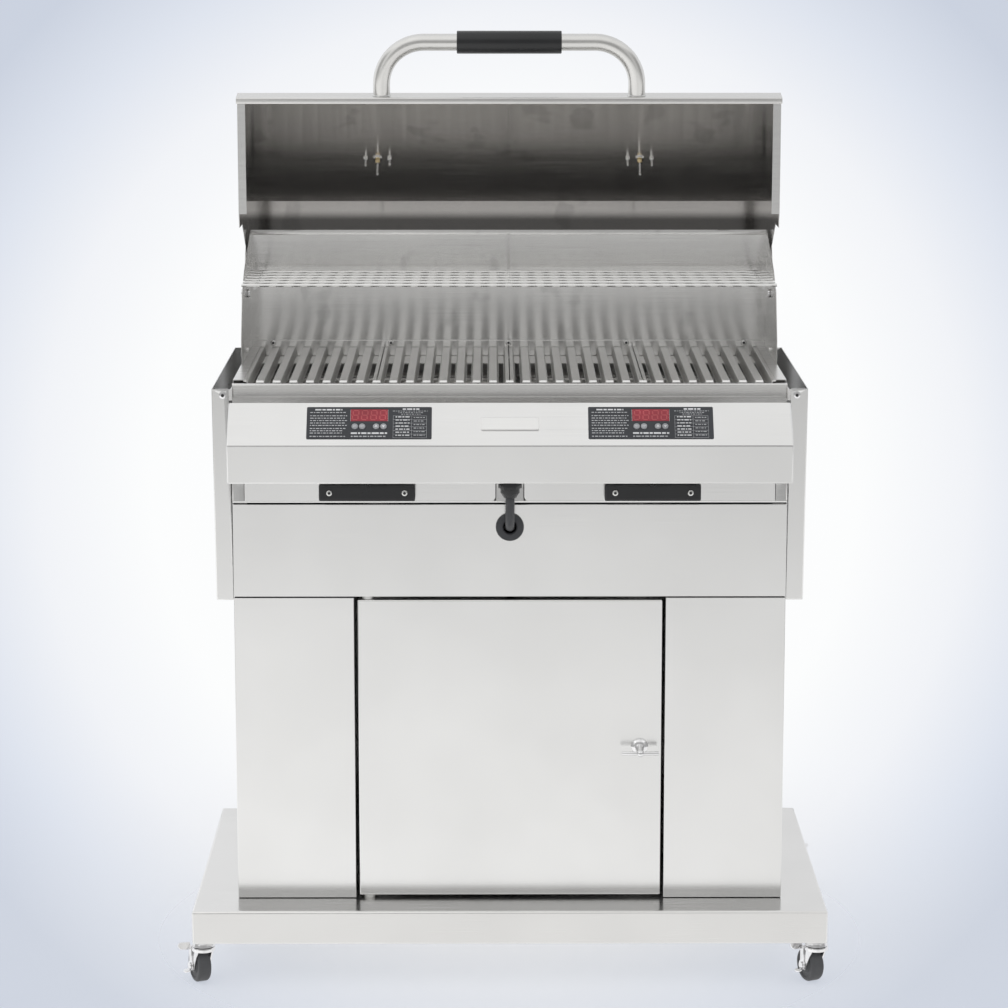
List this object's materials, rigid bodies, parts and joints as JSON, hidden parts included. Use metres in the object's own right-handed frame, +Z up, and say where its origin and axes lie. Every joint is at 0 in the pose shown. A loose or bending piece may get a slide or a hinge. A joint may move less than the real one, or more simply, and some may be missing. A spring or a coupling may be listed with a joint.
{
  "type": "electric grill",
  "caption": "Free-standing stainless electric grill with a hinged lid, sloped control panel, drip trays and drop-leaf shelves, on a cabinet cart with a door and locking casters.",
  "frame": {"origin": "floor under the middle of the base pan", "axes": "+Z up, front faces -Y, +X to the right seen from the front"},
  "size_m": [0.982, 0.562, 1.3869],
  "materials": {
    "stainless_panel": "fine brushed stainless",
    "stainless_inner": "brushed stainless, dulled by heat",
    "chrome": "bright plated",
    "handle_tube": "satin tube",
    "wheel_rubber": "matt tread",
    "cord_rubber": "matt jacket",
    "black_plastic": "moulded, fine grain",
    "white_nylon": "turned nylon",
    "overlay_black": "printed film, satin",
    "display_red": "tinted window",
    "button_grey": "satin keys",
    "element_sheath": "oxidised sheath"
  },
  "bodies": {
    "root": {"base_pan": "stainless_panel", "caster_mounts": "chrome", "cabinet_left": "stainless_panel", "cabinet_right": "stainless_panel", "cabinet_back": "stainless_panel", "front_apron": "stainless_panel", "door_bushes": "white_nylon", "cord_grommet": "cord_rubber", "cord_gland": "black_plastic", "power_cord": "cord_rubber", "cord_coil": "cord_rubber", "power_plug": "cord_rubber", "tray_bay": "stainless_inner", "firebox_shell": "stainless_inner", "front_rail": "stainless_panel", "control_box": "stainless_panel", "overlays": "overlay_black", "displays": "display_red", "heating_elements": "element_sheath", "cooking_grates": "stainless_inner", "warming_rack": "chrome", "riser_back": "stainless_inner", "riser_sides": "stainless_inner", "pivot_bolts": "chrome"},
    "lid": {"lid_shell": "stainless_panel", "lid_ends": "stainless_panel", "lid_handle": "handle_tube", "lid_grip": "black_plastic", "thermometers": "chrome"},
    "door": {"cabinet_door": "stainless_panel", "door_pins": "chrome", "latch_escutcheon": "chrome"},
    "latch": {"latch_handle": "chrome", "latch_cam": "chrome"},
    "tray_left": {"left_tray": "stainless_inner", "left_tray_handle": "black_plastic"},
    "tray_right": {"right_tray": "stainless_inner", "right_tray_handle": "black_plastic"},
    "shelf_left": {"left_shelf": "stainless_panel"},
    "shelf_right": {"right_shelf": "stainless_panel"},
    "caster_fl": {"caster_fork_fl": "chrome"},
    "wheel_fl": {"caster_wheel_fl": "wheel_rubber"},
    "brake_fl": {"caster_brake_fl": "chrome"},
    "caster_fr": {"caster_fork_fr": "chrome"},
    "wheel_fr": {"caster_wheel_fr": "wheel_rubber"},
    "brake_fr": {"caster_brake_fr": "chrome"},
    "caster_rl": {"caster_fork_rl": "chrome"},
    "wheel_rl": {"caster_wheel_rl": "wheel_rubber"},
    "brake_rl": {"caster_brake_rl": "chrome"},
    "caster_rr": {"caster_fork_rr": "chrome"},
    "wheel_rr": {"caster_wheel_rr": "wheel_rubber"},
    "brake_rr": {"caster_brake_rr": "chrome"},
    "key_left_button_1": {"left_button_1": "button_grey"},
    "key_left_button_2": {"left_button_2": "button_grey"},
    "key_left_button_3": {"left_button_3": "button_grey"},
    "key_left_button_4": {"left_button_4": "button_grey"},
    "key_right_button_1": {"right_button_1": "button_grey"},
    "key_right_button_2": {"right_button_2": "button_grey"},
    "key_right_button_3": {"right_button_3": "button_grey"},
    "key_right_button_4": {"right_button_4": "button_grey"}
  },
  "joints": [
    {"name": "lid_hinge", "type": "hinge", "parent": "root", "child": "lid", "pos_m": [0, 0.095, 0.9846], "axis": [1, 0, 0], "range_deg": [0, 90]},
    {"name": "door_hinge", "type": "hinge", "parent": "root", "child": "door", "pos_m": [-0.2085, -0.205, 0.35], "axis": [0, 0, -1], "range_deg": [0, 110]},
    {"name": "latch_turn", "type": "hinge", "parent": "door", "child": "latch", "pos_m": [0.1915, -0.215, 0.348], "axis": [0, -1, 0], "range_deg": [0, 90]},
    {"name": "left_tray_slide", "type": "slide", "parent": "root", "child": "tray_left", "axis": [0, -1, 0], "range_m": [0, 0.33]},
    {"name": "right_tray_slide", "type": "slide", "parent": "root", "child": "tray_right", "axis": [0, -1, 0], "range_m": [0, 0.33]},
    {"name": "left_shelf_hinge", "type": "hinge", "parent": "root", "child": "shelf_left", "pos_m": [-0.4166, 0, 0.8718], "axis": [0, 1, 0], "range_deg": [0, 90.5]},
    {"name": "right_shelf_hinge", "type": "hinge", "parent": "root", "child": "shelf_right", "pos_m": [0.4166, 0, 0.8718], "axis": [0, -1, 0], "range_deg": [0, 90.5]},
    {"name": "caster_fl_swivel", "type": "hinge", "parent": "root", "child": "caster_fl", "pos_m": [-0.453, -0.264, 0.05], "axis": [0, 0, 1], "continuous": true},
    {"name": "wheel_fl_roll", "type": "hinge", "parent": "caster_fl", "child": "wheel_fl", "pos_m": [-0.45976, -0.2495, 0.025], "axis": [0.9063, 0.4226, 0], "continuous": true},
    {"name": "brake_fl_lever", "type": "hinge", "parent": "caster_fl", "child": "brake_fl", "pos_m": [-0.45976, -0.2495, 0.025], "axis": [-0.9063, -0.4226, 0], "range_deg": [0, 22]},
    {"name": "caster_fr_swivel", "type": "hinge", "parent": "root", "child": "caster_fr", "pos_m": [0.453, -0.264, 0.05], "axis": [0, 0, 1], "continuous": true},
    {"name": "wheel_fr_roll", "type": "hinge", "parent": "caster_fr", "child": "wheel_fr", "pos_m": [0.44624, -0.2495, 0.025], "axis": [0.9063, 0.4226, 0], "continuous": true},
    {"name": "brake_fr_lever", "type": "hinge", "parent": "caster_fr", "child": "brake_fr", "pos_m": [0.44624, -0.2495, 0.025], "axis": [-0.9063, -0.4226, 0], "range_deg": [0, 22]},
    {"name": "caster_rl_swivel", "type": "hinge", "parent": "root", "child": "caster_rl", "pos_m": [-0.453, 0.264, 0.05], "axis": [0, 0, 1], "continuous": true},
    {"name": "wheel_rl_roll", "type": "hinge", "parent": "caster_rl", "child": "wheel_rl", "pos_m": [-0.44624, 0.2495, 0.025], "axis": [-0.9063, -0.4226, 0], "continuous": true},
    {"name": "brake_rl_lever", "type": "hinge", "parent": "caster_rl", "child": "brake_rl", "pos_m": [-0.44624, 0.2495, 0.025], "axis": [0.9063, 0.4226, 0], "range_deg": [0, 22]},
    {"name": "caster_rr_swivel", "type": "hinge", "parent": "root", "child": "caster_rr", "pos_m": [0.453, 0.264, 0.05], "axis": [0, 0, 1], "continuous": true},
    {"name": "wheel_rr_roll", "type": "hinge", "parent": "caster_rr", "child": "wheel_rr", "pos_m": [0.45976, 0.2495, 0.025], "axis": [-0.9063, -0.4226, 0], "continuous": true},
    {"name": "brake_rr_lever", "type": "hinge", "parent": "caster_rr", "child": "brake_rr", "pos_m": [0.45976, 0.2495, 0.025], "axis": [0.9063, 0.4226, 0], "range_deg": [0, 22]},
    {"name": "left_button_1_press", "type": "slide", "parent": "root", "child": "key_left_button_1", "axis": [0, 0.75, -0.6614], "range_m": [0, 0.001], "stiffness_N_per_m": 400},
    {"name": "left_button_2_press", "type": "slide", "parent": "root", "child": "key_left_button_2", "axis": [0, 0.75, -0.6614], "range_m": [0, 0.001], "stiffness_N_per_m": 400},
    {"name": "left_button_3_press", "type": "slide", "parent": "root", "child": "key_left_button_3", "axis": [0, 0.75, -0.6614], "range_m": [0, 0.001], "stiffness_N_per_m": 400},
    {"name": "left_button_4_press", "type": "slide", "parent": "root", "child": "key_left_button_4", "axis": [0, 0.75, -0.6614], "range_m": [0, 0.001], "stiffness_N_per_m": 400},
    {"name": "right_button_1_press", "type": "slide", "parent": "root", "child": "key_right_button_1", "axis": [0, 0.75, -0.6614], "range_m": [0, 0.001], "stiffness_N_per_m": 400},
    {"name": "right_button_2_press", "type": "slide", "parent": "root", "child": "key_right_button_2", "axis": [0, 0.75, -0.6614], "range_m": [0, 0.001], "stiffness_N_per_m": 400},
    {"name": "right_button_3_press", "type": "slide", "parent": "root", "child": "key_right_button_3", "axis": [0, 0.75, -0.6614], "range_m": [0, 0.001], "stiffness_N_per_m": 400},
    {"name": "right_button_4_press", "type": "slide", "parent": "root", "child": "key_right_button_4", "axis": [0, 0.75, -0.6614], "range_m": [0, 0.001], "stiffness_N_per_m": 400}
  ]
}
